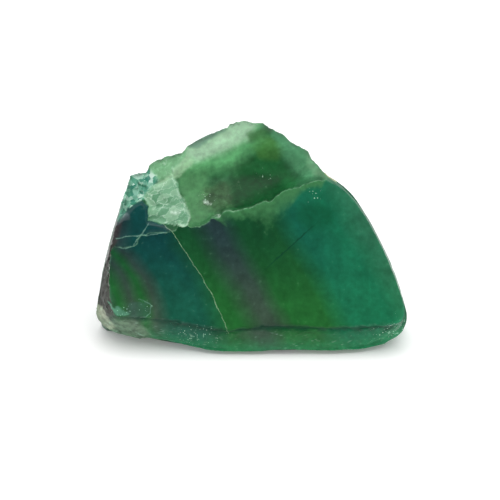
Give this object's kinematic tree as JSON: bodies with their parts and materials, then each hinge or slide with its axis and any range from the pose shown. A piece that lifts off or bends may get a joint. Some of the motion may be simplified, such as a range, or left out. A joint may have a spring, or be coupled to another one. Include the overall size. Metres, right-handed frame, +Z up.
{
  "type": "rough fluorite chunk",
  "caption": "Rough broken chunk of banded green fluorite with a flat leaning front face, a dished pale break on top and a cleaved, stepped back.",
  "frame": {"origin": "on the ground under the middle of the stone's box", "axes": "+X along the stone's length, to the right seen from the front; -Y towards the front, where the flat face leans back; +Z up"},
  "size_m": [0.0628, 0.0324, 0.0373],
  "materials": {
    "green_fluorite": "glossy on the flat face and satin on the breaks, translucent, banded green, teal and grey violet"
  },
  "bodies": {
    "root": {"fluorite_chunk": "green_fluorite"}
  },
  "joints": []
}
